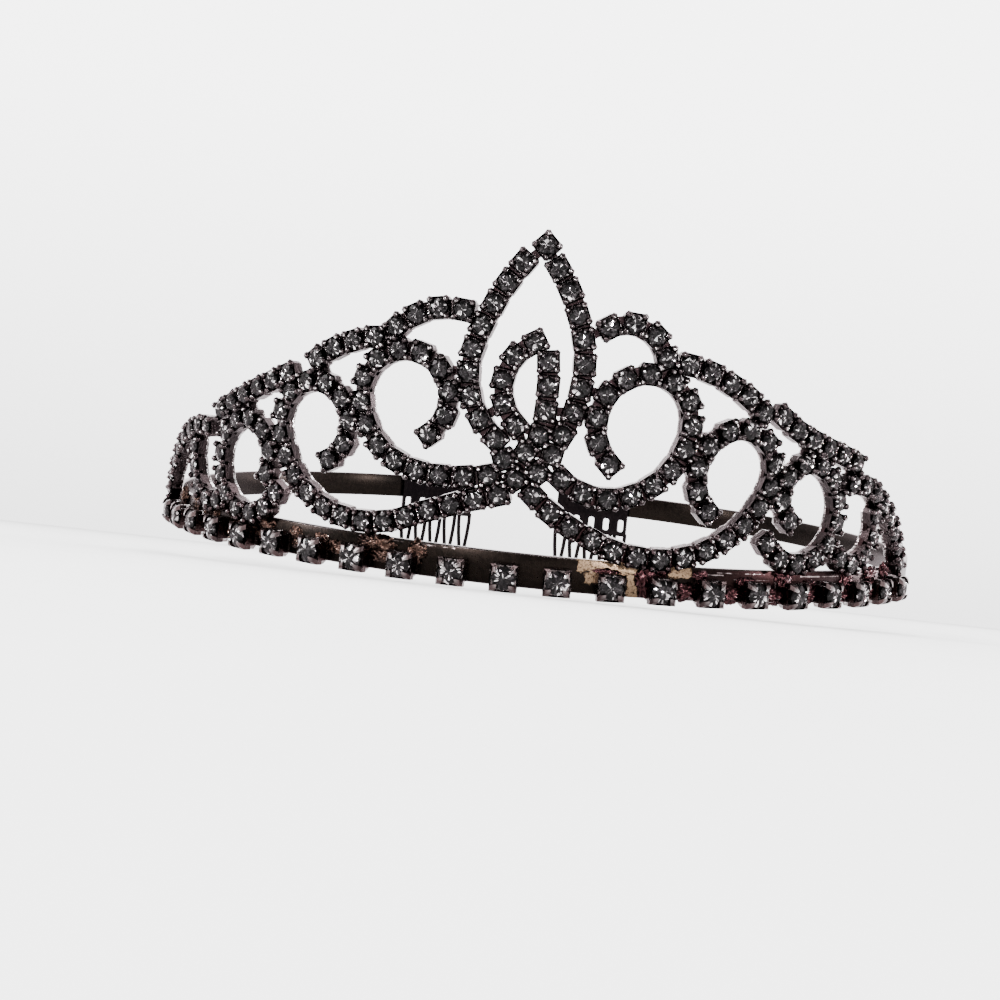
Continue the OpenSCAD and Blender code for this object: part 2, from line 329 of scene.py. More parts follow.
def plated(name, rose, gunmetal, patches, rough, bump, red_foot=0.0, bare_and_glint=(0.66, 0.60, 0.60),
           thin=(0.042, 0.034, 0.035)):
    """A plated metal. The colours are its two platings, bright flecks for uncovered metal and
    painted glints, and a lighter colour for thin plating and painted highlights.
    """
    material = bpy.data.materials.new(name)
    material.use_nodes = True
    tree = material.node_tree
    shader = tree.nodes["Principled BSDF"]
    place = add(tree, "ShaderNodeTexCoord").outputs["Object"]
    # The shape's wear attribute: wear, painted highlights and painted glints
    wear_and_glint = add(tree, "ShaderNodeAttribute", attribute_name="wear_and_glint")
    tint = add(tree, "ShaderNodeGroup", node_tree=drift)
    tint.inputs["Rose"].default_value = (*rose, 1)
    tint.inputs["Gunmetal"].default_value = (*gunmetal, 1)
    tint.inputs["Patches"].default_value = patches
    tint.inputs["Bare_and_glint"].default_value = (*bare_and_glint, 1)
    tint.inputs["Thin_and_lit"].default_value = (*thin, 1)
    tree.links.new(place, tint.inputs["Vector"])
    tree.links.new(wear_and_glint.outputs["Fac"], tint.inputs["Polish_and_glint"])
    fine = add(tree, "ShaderNodeGroup", node_tree=marks)
    tree.links.new(place, fine.inputs["Vector"])
    colour = tint.outputs["Color"]
    if red_foot:
        height = add(tree, "ShaderNodeSeparateXYZ")
        tree.links.new(place, height.inputs[0])
        low = add(tree, "ShaderNodeMapRange")
        low.inputs["From Min"].default_value = RED_FROM * MM
        low.inputs["From Max"].default_value = RED_UP_TO * MM
        low.inputs["To Min"].default_value = red_foot
        low.inputs["To Max"].default_value = 0.0
        tree.links.new(height.outputs["Z"], low.inputs["Value"])
        colour = mix_colour(tree, low.outputs[0], colour, LOW_RED)
    colour = mix_colour(tree, math_node(tree, "MULTIPLY", fine.outputs["Grime"], 0.25), colour, GRIME)
    tree.links.new(colour, shader.inputs["Base Color"])
    dullness = math_node(tree, "MULTIPLY", tint.outputs["Dullness"], 0.35)
    tree.links.new(math_node(tree, "ADD", dullness, rough, True), shader.inputs["Roughness"])
    bumps = add(tree, "ShaderNodeBump")
    bumps.inputs["Strength"].default_value = bump
    bumps.inputs["Distance"].default_value = 0.00008
    tree.links.new(fine.outputs["Height"], bumps.inputs["Height"])
    tree.links.new(bumps.outputs["Normal"], shader.inputs["Normal"])
    shader.inputs["Metallic"].default_value = 1.0
    shader.inputs["Specular Tint"].default_value = (0.8, 0.75, 0.76, 1)
    return material, tree, shader

cup_metal, _, _ = plated("cup_metal", rose=(0.036, 0.0265, 0.0280),
                         gunmetal=(0.0165, 0.0138, 0.0145), patches=110.0, rough=0.12, bump=0.9,
                         red_foot=0.42)
print("materials:", cup_metal.name)

# %% [markdown]
# ## One square cup
# The real cup is stamped from sheet: a square base, four low walls, and at each corner a
# prong that is bent over the stone after it is laid in. It could be cut out of a block with
# booleans, but with close to two hundred cups each face counts. So a cube gets chamfered
# corners and a chamfered base, its top is inset twice to sink the seat, and each prong is
# one polygon, extruded and resized. Its edges are extruded with it, because then the old
# polygon goes and nothing is left inside. Smooth shading makes it look round. A small cup's
# prongs end in balls, and the larger cups' in flat claws.

# %% Draw a prong
def prong(name, sides, out, rings):
    """A post along x from the middle: each ring is a height, a radius and a lean inwards."""
    post = bmesh.new()
    bmesh.ops.create_circle(post, cap_ends=True, segments=sides, radius=rings[0][1],
                            matrix=Matrix.Translation((out, 0, rings[0][0])))
    cap = post.faces[:][0]
    for (height, radius, lean), (height2, radius2, lean2) in zip(rings, rings[1:]):
        made = bmesh.ops.extrude_face_region(post, geom=[cap, *cap.edges])["geom"]
        cap = next(g for g in made if isinstance(g, bmesh.types.BMFace))
        middle, wider = cap.calc_center_median(), radius2 / radius
        bmesh.ops.scale(post, vec=(wider, wider, 1), space=Matrix.Translation(-middle), verts=cap.verts)
        bmesh.ops.translate(post, vec=(lean - lean2, 0, height2 - height), verts=cap.verts)
    # The cap at the tip gets a painted glint, the rest of the post a little wear
    wear_and_glint = post.loops.layers.float.new("wear_and_glint")
    for face in post.faces:
        face.smooth = sides > 4
        for corner in face.loops:
            corner[wear_and_glint] = 1.0 if corner.vert in cap.verts else 0.1
    return as_pattern(name, post)

ball = prong("ball", 6, 1.70, [(1.50, 0.46, 0.0), (1.93, 0.54, 0.03), (2.37, 0.12, 0.12)])
claw = prong("claw", 4, 2.30, [(1.00, 0.50, 0.0), (2.10, 0.52, 0.05), (2.60, 0.46, 0.45),
                               (2.92, 0.16, 0.95)])

# %% [markdown]
# ### Wear and painted light on a cup
# Each face of a cup gets its own wear value, and the material makes a face lighter the
# higher it is. On the rim and the corners this is partly wear, where dark plating is
# scuffed away. The seat and the rim are also lightened as painted light in the dark hollow
# round the stone, and the corners of the larger cups get upright painted glints. The
# chamfer of the base and the sides just above it get a painted highlight, which is the
# thin bright edge of each opening in the openwork. The lower half of each foot cup is
# given less of it, as painted shade under light from above.

# %% Draw a cup
# Below BRIGHT_TO the sides of a cup get a painted highlight
CUP_BASE, BASE_CHAMFER, BRIGHT_TO = 0.25, 0.14, 0.2

def cup_wear_and_light(face, seat, rim_wear_and_light, corner_wear_and_glint):
    """A face's value of wear and painted light: how much lighter the material makes it."""
    way = face.normal
    # The seat: painted light in the hollow under the stone
    if face is seat:
        return 0.5
    # The rim: wear and painted light
    if way.z > 0.4:
        return rim_wear_and_light
    # The chamfer of the base: painted highlight
    if -0.9 < way.z < -0.4:
        return 1.6
    # The sides just above the base: painted highlight
    if face.calc_center_median().z < BRIGHT_TO and way.z > -0.4:
        return 1.3
    # The upright corner chamfers: wear and painted glints
    if abs(way.x) > 0.4 and abs(way.y) > 0.4:
        return corner_wear_and_glint
    return 0.0

def square_cup(name, width, wall, floor, rim, post, rim_wear_and_light, corner_wear_and_glint, lower_half_shade):
    """A cup with four posts; wall and floor are the heights of its rim and its seat."""
    cup = bmesh.new()
    bmesh.ops.create_cube(cup, size=1.0)
    bmesh.ops.scale(cup, vec=(width, width, wall + CUP_BASE), verts=cup.verts)
    bmesh.ops.translate(cup, vec=(0, 0, (wall - CUP_BASE) / 2), verts=cup.verts)
    upright = [e for e in cup.edges if abs(e.verts[0].co.z - e.verts[1].co.z) > 0.5]
    bmesh.ops.bevel(cup, geom=upright, offset=0.16 * width, affect="EDGES", segments=1,
                    profile=0.5, material=-1)
    base = min(cup.faces, key=lambda f: f.calc_center_median().z)
    bmesh.ops.bevel(cup, geom=base.edges[:], offset=BASE_CHAMFER, affect="EDGES", segments=1,
                    profile=0.5, material=-1)
    bmesh.ops.bisect_plane(cup, geom=cup.verts[:] + cup.edges[:] + cup.faces[:], dist=1e-5,
                           plane_co=(0, 0, BRIGHT_TO), plane_no=(0, 0, 1))
    seat = max(cup.faces, key=lambda f: f.calc_center_median().z)
    bmesh.ops.inset_region(cup, faces=[seat], thickness=rim, depth=-0.7 * rim, use_even_offset=True)
    bmesh.ops.inset_region(cup, faces=[seat], thickness=0.02 * width, depth=floor - wall,
                           use_even_offset=True)
    wear_and_glint = cup.loops.layers.float.new("wear_and_glint")
    for face in cup.faces:
        wear = cup_wear_and_light(face, seat, rim_wear_and_light, corner_wear_and_glint)
        for corner in face.loops:
            corner[wear_and_glint] = wear
    copies(cup, post, [Matrix.Rotation(math.radians(45 + 90 * k), 4, "Z") for k in range(4)])
    # The lower half is darkened by the given factor: painted shade
    for face in cup.faces:
        if face.calc_center_median().y < 0:
            for corner in face.loops:
                corner[wear_and_glint] *= lower_half_shade
    return as_pattern(name, cup)

small_cup = square_cup("small_cup", width=1.055 * CUP, wall=1.55, floor=1.25, rim=0.20, post=ball,
                       rim_wear_and_light=1.05, corner_wear_and_glint=0.5, lower_half_shade=1.0)
foot_cup = square_cup("foot_cup", width=FOOT_CUP, wall=1.95, floor=1.55, rim=0.16, post=claw,
                      rim_wear_and_light=0.85, corner_wear_and_glint=1.5, lower_half_shade=0.45)

# %% [markdown]
# ## One cut stone
# A cut stone has a flat table on top, rings of facets below it, a thin girdle and a pointed
# pavilion. Each ring is the one below it extruded, pulled in, lifted and turned by half a
# facet, so that the sloping squares split into triangles, which is how a real crown is cut.
# The table is poked a little, because behind a real one the facets of the pavilion show.
# Each corner also keeps its place on the stone in `cut`, for the material's facet pattern.
# Blender may number the new facets in another order each time. So they are sorted along a
# skew direction, on which no two lie equally far, and each gets the same tone in every run.

# %% Draw a stone
SKEW = Vector((1.0, 0.37, 9.1))

def cut_stone(name, radius, level):
    """A stone with its girdle at a level above the cup's base."""
    stone = bmesh.new()
    rim = bmesh.ops.create_circle(stone, cap_ends=False, segments=8, radius=radius)["verts"]
    edges = stone.edges[:]

    def next_ring(edges, lift, shrink, turn):
        made = bmesh.ops.extrude_edge_only(stone, edges=edges)["geom"]
        verts = [g for g in made if isinstance(g, bmesh.types.BMVert)]
        bmesh.ops.scale(stone, vec=(shrink, shrink, 1), verts=verts)
        bmesh.ops.rotate(stone, matrix=Matrix.Rotation(math.radians(turn), 3, "Z"), verts=verts)
        bmesh.ops.translate(stone, vec=(0, 0, lift), verts=verts)
        return [e for e in stone.edges if e.verts[0] in verts and e.verts[1] in verts]

    girdle = next_ring(edges, 0.08 * radius, 1.0, 0)
    crown = next_ring(girdle, 0.14 * radius, 0.80, 22.5)
    table = next_ring(crown, 0.09 * radius, 0.70, -22.5)
    flat = bmesh.ops.contextual_create(stone, geom=table)["faces"]
    bmesh.ops.poke(stone, faces=flat, offset=-0.06 * radius)
    point = next_ring(edges, -0.62 * radius, 0.04, 0)
    bmesh.ops.contextual_create(stone, geom=point)
    bmesh.ops.triangulate(stone, faces=[f for f in stone.faces if len(f.verts) == 4])
    cut = stone.loops.layers.float_vector.new("cut")
    for face in stone.faces:
        for corner in face.loops:
            corner[cut] = corner.vert.co / radius
    bmesh.ops.translate(stone, vec=(0, 0, level - 0.08 * radius), verts=stone.verts)
    stone.faces.sort(key=lambda f: f.calc_center_median().dot(SKEW))
    return as_pattern(name, stone)

small_stone = cut_stone("small_stone", 1.12 * STONE, 1.80)
foot_stone = cut_stone("foot_stone", 1.12 * FOOT_STONE, 2.30)

# %% [markdown]
# ## The strands
# Cup chain comes as strands of cups, which are bent into scrolls and arches and soldered
# together. Each row below is one strand: its group, where its first cup sits, which way it
# sets off, and runs of steps with a turn at each step, as a turtle would walk it.

# %% Strands of cups: group, s, h, heading, runs of (steps, turn)
STRANDS = [
    ("peak", 1.0, 46.4, 45, []),
    ("peak", -1.8, 43.9, -126, [(4, 5.4), (4, 16.5)]),
    ("peak", 2.9, 43.5, -55, [(3, -7.4), (4, -9.5)]),
    ("almond", 0.7, 33.2, -153, [(4, 27.5)]),
    ("almond", 2.7, 30.7, -82, [(3, -6.2)]),
    ("lower_left", -2.3, 11.6, -164, [(4, 1.9), (4, -11.3), (4, -12.9), (4, -30.7), (4, -33.5)]),
    ("lower_right", 2.3, 12.0, -42, [(4, 6.3), (4, 10.3), (4, 11.0), (4, 34.1), (4, 28.2)]),
    ("upper_left", -4.0, 14.2, -166, [(3, -7.5), (4, -17.8), (4, -29.6), (4, -30.9)]),
    ("upper_right", 6.0, 14.6, -38, [(3, 19.8), (4, 16.7), (4, 31.1), (4, 26.0)]),
    ("arches_left", -9.3, 36.7, 171, [(3, 18.1)]),
    ("arches_left", -21.9, 31.9, -173, [(3, 9.7)]),
    ("arches_left", -36.7, 25.5, -159, [(5, 0.9)]),
    ("arches_right", 10.3, 36.2, 30, [(3, -35.1)]),
    ("arches_right", 21.8, 32.2, -10, [(4, -7.4)]),
    ("arches_right", 37.4, 26.2, -33, [(3, 6.7), (2, -3.0)]),
    ("scroll_left", -37.8, 7.6, -119, [(4, -26.2), (4, -27.3), (4, -35.1)]),
    ("scroll_right", 37.4, 7.7, -53, [(4, 27.0), (4, 25.6), (4, 40.6)]),
    ("end_left", -56.6, 15.9, 178, [(3, 12.0), (4, 4.5)]),
    ("end_left", -61.2, 12.3, -98, [(4, 28.0)]),
    ("end_right", 53.3, 17.1, 6, [(2, -18.0), (5, -5.0)]),
    ("end_right", 60.4, 12.3, -66, [(4, -37.0)]),
    ("almond", 0.8, 17.9, 65, []), ("almond", -2.1, 16.6, 18, []), ("almond", 4.4, 17.9, -10, []),
    ("almond", -0.2, 14.0, 40, []), ("almond", 2.7, 15.2, 45, []),
]

def walk(s, h, heading, runs):
    """The places of a strand's cups, each a step of one pitch from the last."""
    cups = [(s, h, heading)]
    for steps, turn in runs:
        for _ in range(steps):
            way = math.radians(heading + turn / 2)
            s, h, heading = s + PITCH * math.cos(way), h + PITCH * math.sin(way), heading + turn
            cups.append((s, h, heading))
    return cups

strands = [(row[0], walk(*row[1:])) for row in STRANDS]
groups = list(dict.fromkeys(name for name, _ in strands))
print(len(strands), "strands in", len(groups), "groups,", sum(len(c) for _, c in strands), "small cups")

# %% [markdown]
# ## Cups on their strands
# No cup of a hand-soldered tiara sits quite true. Each gets a slight turn and tip of its
# own from a seeded generator, and its stone shares them.

# %% Place the cups
luck = random.Random(11)

def unsteady(place, turn, tip):
    """Turns and tips a place by up to so many degrees."""
    return (place @ Matrix.Rotation(math.radians(luck.uniform(-turn, turn)), 4, "Z")
            @ Matrix.Rotation(math.radians(luck.uniform(-tip, tip)), 4, "X")
            @ Matrix.Rotation(math.radians(luck.uniform(-tip, tip)), 4, "Y"))

cup_places = {name: [] for name in groups}
for name, cups in strands:
    cup_places[name] += [unsteady(on_face(s, h, a, LEAN), turn=3.0, tip=2.5) for s, h, a in cups]
print(sum(map(len, cup_places.values())), "small cups are placed")

# %% [markdown]
# ## Links
# Under the cups run the links that join them, as flat bars along each strand and across
# where two strands touch. Each is a cube of side one, stretched to its length, width and
# thickness. It is cut round its sides, so that the strip at its back can carry a painted
# highlight: from the front that strip is the thin bright line inside each opening. The links
# at the left get a lighter, silvery finish as a painted reflection of a window, and the
# others are redder.

# %% Draw and place the links
BACK, STRIP_UP_TO = -0.5, -0.15
block = bmesh.new()
bmesh.ops.create_cube(block, size=1.0)
bmesh.ops.bisect_plane(block, geom=block.verts[:] + block.edges[:] + block.faces[:], dist=1e-5,
                       plane_co=(0, 0, STRIP_UP_TO), plane_no=(0, 0, 1))
wear_and_glint = block.loops.layers.float.new("wear_and_glint")
# The strip at the back gets a painted highlight
for face in block.faces:
    for corner in face.loops:
        corner[wear_and_glint] = 1.6 if BACK < face.calc_center_median().z < STRIP_UP_TO else 0.0
link_block = as_pattern("link_block", block)

# Links along a strand and across to another one: width, and from and to off the band
ALONG, ACROSS = (2.7, -0.15, 0.95), (1.3, -0.1, 0.6)

def link_place(p, q, width, low, high):
    """The matrix that stretches the block between two cups."""
    (s, h), (s2, h2) = p[:2], q[:2]
    length = math.hypot(s2 - s, h2 - h)
    return (on_face((s + s2) / 2, (h + h2) / 2, math.degrees(math.atan2(h2 - h, s2 - s)), LEAN)
            @ Matrix.Translation((0, 0, (low + high) / 2))
            @ Matrix.Diagonal((length, width, high - low, 1)))

link_places = {name: [] for name in groups}
for number, (name, cups) in enumerate(strands):
    link_places[name] += [link_place(p, q, *ALONG) for p, q in zip(cups, cups[1:])]
    for _, others in strands[number + 1:]:
        link_places[name] += [link_place(p, q, *ACROSS) for p in cups for q in others
                              if math.dist(p[:2], q[:2]) < SOLDER_REACH]

# %% Finish the cups and the links
link_metal, _, _ = plated("link_metal", rose=(0.021, 0.0130, 0.0140), gunmetal=(0.0095, 0.0064, 0.0070),
                          patches=200.0, rough=0.16, bump=0.9, red_foot=0.6,
                          bare_and_glint=(0.62, 0.52, 0.53), thin=(0.090, 0.064, 0.067))
# The links at the left: a lighter, silvery copy, as a painted reflection of a window
link_window_lit, _, _ = plated("link_window_lit", rose=(0.030, 0.0235, 0.0240),
                           gunmetal=(0.0130, 0.0105, 0.0108), patches=200.0, rough=0.12, bump=0.9,
                           red_foot=0.3, bare_and_glint=(0.92, 0.89, 0.90), thin=(0.30, 0.27, 0.27))
for name in groups:
    finish_piece("cups_" + name, copies(bmesh.new(), small_cup, cup_places[name]), cup_metal,
                 "metal_frame")
    finish_piece("links_" + name, copies(bmesh.new(), link_block, link_places[name]),
                 link_window_lit if name.endswith("left") else link_metal, "metal_frame")

# %% [markdown]
# ## The foot row
# The larger cups stand straight on the band, one every seven and a half millimetres. Their
# finish is a lighter copy of the small cups' plating, with brighter flecks and highlights:
# painted light and painted glints.

# %% Place the foot cups
foot_places = [unsteady(on_face(FOOT_MIDDLE + k * FOOT_PITCH, 0), turn=2.0, tip=1.2)
               for k in range(-FOOT_SIDE, FOOT_SIDE + 1)]
# A lighter copy of the cups' plating: painted light and painted glints
foot_metal_lit, _, _ = plated("foot_metal_lit", rose=(0.060, 0.036, 0.036), gunmetal=(0.024, 0.017, 0.017),
                          patches=160.0, rough=0.12, bump=0.7, red_foot=0.3,
                          bare_and_glint=(0.95, 0.90, 0.90), thin=(0.60, 0.54, 0.54))
finish_piece("cups_foot", copies(bmesh.new(), foot_cup, foot_places), foot_metal_lit,
             "metal_frame")

# %% [markdown]
# ## The band
# The band is a strip of sheet bent on edge to an open ring. Its section is a thin upright
# rectangle with softened corners, spun about the ring's axis from one end to the other.
# The attribute `on_band` then tells the material how far along and up the band a spot
# is, in millimetres. On the band's inside it counts from a metre on, out of reach of the
# marks on the outside.

# %% Spin the band
ROUNDING, STEPS, INSIDE_FROM = 0.18, 340, 1000
MID_HEIGHT, HALF_HEIGHT = (BAND_TOP - BAND_BOTTOM) / 2, (BAND_TOP + BAND_BOTTOM) / 2
strip = bmesh.new()
bmesh.ops.create_grid(strip, x_segments=1, y_segments=1, size=0.5)
bmesh.ops.scale(strip, vec=(THICK, 2 * HALF_HEIGHT, 1), verts=strip.verts)
bmesh.ops.bevel(strip, geom=strip.verts[:], offset=ROUNDING, affect="VERTICES", segments=2,
                profile=0.5, material=-1)
bmesh.ops.rotate(strip, matrix=Matrix.Rotation(math.radians(90), 3, "X"), verts=strip.verts)
bmesh.ops.translate(strip, vec=(RING - THICK / 2, 0, MID_HEIGHT), verts=strip.verts)
bmesh.ops.rotate(strip, matrix=Matrix.Rotation(math.radians(-90 - LEFT_END), 3, "Z"), verts=strip.verts)
bmesh.ops.spin(strip, geom=strip.verts[:] + strip.edges[:] + strip.faces[:], cent=(0, 0, 0),
               axis=(0, 0, 1), angle=math.radians(LEFT_END + RIGHT_END), steps=STEPS,
               use_merge=False)
bmesh.ops.recalc_face_normals(strip, faces=strip.faces)
print("open edges in the band:", sum(not e.is_manifold for e in strip.edges))

# %% Note each spot's place on the band
on_band = strip.loops.layers.float_vector.new("on_band")
# The rounded upper and lower edges get wear and a painted highlight
wear_and_glint = strip.loops.layers.float.new("wear_and_glint")
for face in strip.faces:
    middle = face.calc_center_median()
    edge = abs(middle.z - MID_HEIGHT) > HALF_HEIGHT - ROUNDING - 0.01
    inner = middle.xy.length < RING - THICK + 0.1
    for corner in face.loops:
        spot = corner.vert.co
        corner[on_band] = (math.atan2(spot.x, -spot.y) * RING + INSIDE_FROM * inner, spot.z, 0)
        corner[wear_and_glint] = 1.0 if edge else 0.0
    face.smooth = True
bmesh.ops.translate(strip, vec=(0, RING, 0), verts=strip.verts)
bmesh.ops.transform(strip, matrix=REST, verts=strip.verts)
print(f"the band is {RING * math.radians(LEFT_END + RIGHT_END):.0f} mm long")

# %% [markdown]
# ### The band's finish
# Along the front a few patches are champagne, and thin pale lines are painted highlights
# where the polish catches the light. Both are boxes on the unrolled band: the depth
# of a spot inside the nearest box, less a noise, gives an outline that is as ragged as a
# real one. From the middle to the right the plating turns maroon, as the solder does.

# %% Champagne patches and painted highlight lines on the band: from and to along it, from and to up it, in mm
CHAMPAGNE_BOXES = [(9.5, 18.4, 1.7, 4.0), (16.9, 18.8, -2.0, 2.0), (10.5, 13.0, 0.0, 2.0), (22.7, 26.6, 1.9, 4.0)]
HIGHLIGHT_BOXES = [(27.4, 31.8, 2.4, 2.7), (30.5, 39.0, 2.8, 3.0), (33.5, 40.0, 1.9, 2.1), (40.9, 42.2, 0.6, 2.9),
           (46.0, 55.0, 2.5, 2.8), (-23.0, -8.0, 3.0, 3.2)]
MAROON_OVER = 100.0     # the stops below are shares of this length along the band
MAROON_FROM = [(0.24, (0.0,)), (0.40, (0.75,)), (0.75, (0.75,)), (0.90, (0.0,))]
# The second colour here is that of the painted highlights
MAROON_PLATING, HIGHLIGHT_COLOUR = (0.0105, 0.0040, 0.0044), (0.420, 0.340, 0.340)
CHAMPAGNE_PIT, CHAMPAGNE = (0.020, 0.013, 0.008), (0.150, 0.098, 0.062)
print(len(CHAMPAGNE_BOXES), "rubbed boxes and", len(HIGHLIGHT_BOXES), "highlight_mask")

# %% Finish the band
band_metal, tree, shader = plated("band_metal", rose=(0.0066, 0.0048, 0.0040),
                                  gunmetal=(0.0034, 0.0027, 0.0024), patches=60.0, rough=0.18,
                                  bump=0.05, bare_and_glint=(0.05, 0.042, 0.040))
place = add(tree, "ShaderNodeTexCoord").outputs["Object"]
spot = add(tree, "ShaderNodeSeparateXYZ")
tree.links.new(add(tree, "ShaderNodeAttribute", attribute_name="on_band").outputs["Vector"], spot.inputs[0])
ragged = math_node(tree, "MULTIPLY", noise_node(tree, place, 900.0, 4.0).outputs["Fac"], 2.0)

def patches_on_band(rows, edge_noise, offset, stops):
    """A mask of all the boxes in rows, with ragged outlines."""
    inside = None
    for left, right_side, low, high in rows:
        along = math_node(tree, "MINIMUM", math_node(tree, "SUBTRACT", spot.outputs["X"], left),
                          math_node(tree, "SUBTRACT", right_side, spot.outputs["X"]))
        upward = math_node(tree, "MINIMUM", math_node(tree, "SUBTRACT", spot.outputs["Y"], low),
                           math_node(tree, "SUBTRACT", high, spot.outputs["Y"]))
        depth_in = math_node(tree, "MINIMUM", along, upward)
        inside = math_node(tree, "MAXIMUM", inside, depth_in) if inside else depth_in
    depth = math_node(tree, "SUBTRACT", inside, edge_noise)
    return ramp_node(tree, math_node(tree, "ADD", depth, offset), stops)

champagne_patch = patches_on_band(CHAMPAGNE_BOXES, ragged, 1.4, [(0.45, (0.0,)), (0.6, (1.0,))])
# Painted highlights: thin pale lines along the band
highlight_mask = patches_on_band(HIGHLIGHT_BOXES, math_node(tree, "MULTIPLY", ragged, 0.25), 0.5,
                          [(0.30, (0.0,)), (0.55, (1.0,))])
far = ramp_node(tree, math_node(tree, "DIVIDE", spot.outputs["X"], MAROON_OVER), MAROON_FROM)
before = shader.inputs["Base Color"].links[0].from_socket
maroon = mix_colour(tree, far.outputs[0], before, MAROON_PLATING)
pits = ramp_node(tree, noise_node(tree, place, 2600.0, 3.0, 0.7).outputs["Fac"],
                 [(0.36, CHAMPAGNE_PIT), (0.50, CHAMPAGNE)])
champagne = mix_colour(tree, champagne_patch.outputs["Color"], maroon, pits.outputs["Color"])
highlighted = mix_colour(tree, highlight_mask.outputs["Color"], champagne, HIGHLIGHT_COLOUR)
tree.links.new(highlighted, shader.inputs["Base Color"])
finish_piece("band_strip", strip, band_metal, "metal_frame")

# %% [markdown]
# ## Solder
# Where the scrolls meet the band they are held by lumps of solder, which have been plated
# over and look like crumpled copper foil. Noise pushes a squashed ball in and out, twice:
# coarsely for the lump's outline and finely for the crumples. The half that lies against
# the band is flattened, so that nothing shows on the inside. The larger lumps are listed
# one by one, and the smaller ones between the foot cups come from a loop.

# %% Where the lumps lie: s, h, half width, half height, thickness
GOLDEN = [(-70, 3.0, 2.2, 1.8, 1.1), (-63, 3.0, 2.8, 1.5, 0.8), (-56, 2.4, 3.0, 1.5, 0.7),
          (-48.6, 2.6, 2.6, 1.3, 0.7), (-41.6, 2.3, 3.4, 1.5, 0.8), (-34.6, 2.0, 1.6, 1.2, 0.6),
          (-29.4, 1.8, 1.5, 1.0, 0.5), (-20.0, 2.4, 3.6, 1.8, 0.7), (-13.6, 2.0, 1.8, 2.0, 0.8)]
MAROON = [(13.9, 2.0, 2.4, 0.6, 0.5), (19.6, 1.5, 1.6, 3.0, 0.7), (21.6, 2.9, 1.9, 1.4, 0.9),
          (27.9, 2.3, 1.4, 1.0, 0.7), (35.4, 1.7, 1.8, 0.8, 0.6), (42.4, 2.6, 2.0, 2.0, 0.9),
          (48.0, 1.5, 2.0, 0.9, 0.7), (57.0, 2.2, 1.9, 2.4, 0.8), (64.5, 2.8, 2.6, 1.4, 0.8),
          (70, 3.2, 2.4, 1.6, 1.0)]
crumple = random.Random(5)
for number in range(2, FOOT_SIDE):
    between = (number + 0.5) * FOOT_PITCH
    if number > 2:
        MAROON.append((FOOT_MIDDLE + between, -0.1,
                       crumple.uniform(1.8, 2.8), crumple.uniform(1.4, 1.8), 1.5))
    GOLDEN.append((FOOT_MIDDLE - between + crumple.uniform(-1, 1), crumple.uniform(-0.5, 1.0),
                   crumple.uniform(1.4, 2.6), crumple.uniform(0.7, 1.2), crumple.uniform(0.6, 1.0)))
print(len(GOLDEN), "golden and", len(MAROON), "maroon lumps")

# %% Shape the lumps
def solder_lumps(name, rows, material):
    """One piece of crumpled lumps, with wear and painted highlights on the crumples' ridges."""
    solder = bmesh.new()
    ridge_glint = solder.verts.layers.float.new("ridge_glint")
    for s, h, wide, high, thick in rows:
        lump = bmesh.ops.create_icosphere(solder, subdivisions=4, radius=1.0)["verts"]
        bmesh.ops.scale(solder, vec=(wide, high, thick), verts=lump)
        shift = Vector((0.7 * s, 3.0, 0))
        for vert in lump:
            coarse = noise.noise(vert.co * 0.9 + shift)
            fine = abs(noise.noise(vert.co * 2.6 + shift)) + 0.5 * abs(noise.noise(vert.co * 5.5 - shift))
            # Wear and a painted highlight along the crumples' ridges
            vert[ridge_glint] = 1.0 - 3.2 * fine
            vert.co *= 1.0 + 0.34 * coarse - 0.6 * fine
            vert.co.z *= 0.3 if vert.co.z < 0 else 1.0
        bmesh.ops.transform(solder, matrix=on_face(s, h), verts=lump)
    wear_and_glint = solder.loops.layers.float.new("wear_and_glint")
    for face in solder.faces:
        face.smooth = True
        for corner in face.loops:
            corner[wear_and_glint] = max(0.0, corner.vert[ridge_glint])
    finish_piece(name, solder, material, "metal_frame")

golden_solder, _, _ = plated("golden_solder", rose=(0.0300, 0.0160, 0.0120),
                             gunmetal=(0.0100, 0.0056, 0.0046), patches=500.0, rough=0.10, bump=0.9,
                             bare_and_glint=(0.68, 0.54, 0.46), thin=(0.190, 0.120, 0.098))
maroon_solder, _, _ = plated("maroon_solder", rose=(0.0240, 0.0088, 0.0098),
                             gunmetal=(0.0085, 0.0032, 0.0036), patches=500.0, rough=0.10, bump=0.9,
                             bare_and_glint=(0.70, 0.52, 0.52), thin=(0.200, 0.090, 0.100))
solder_lumps("solder_left", GOLDEN, golden_solder)
solder_lumps("solder_right", MAROON, maroon_solder)

# %% [markdown]
# ## Smoky stones
# The stones are clear grey glass with mirror foil behind. Rendered as real glass they would
# be slow and grainy at this size. What one sees is a patchwork: each facet shows a dark
# room, a grey wall or a lamp. So every facet gets a tone of its own, mostly dark and seldom
# bright, in an attribute, on a sharp metal-like base with a glassy coat over it. Within a
# facet, the foil is seen through the facets below as still smaller chips. They are cells
# of a pattern laid in wedges about the stone's middle, and each chip tilts the reflection
# its own way. `cut` says where on which stone a spot is.

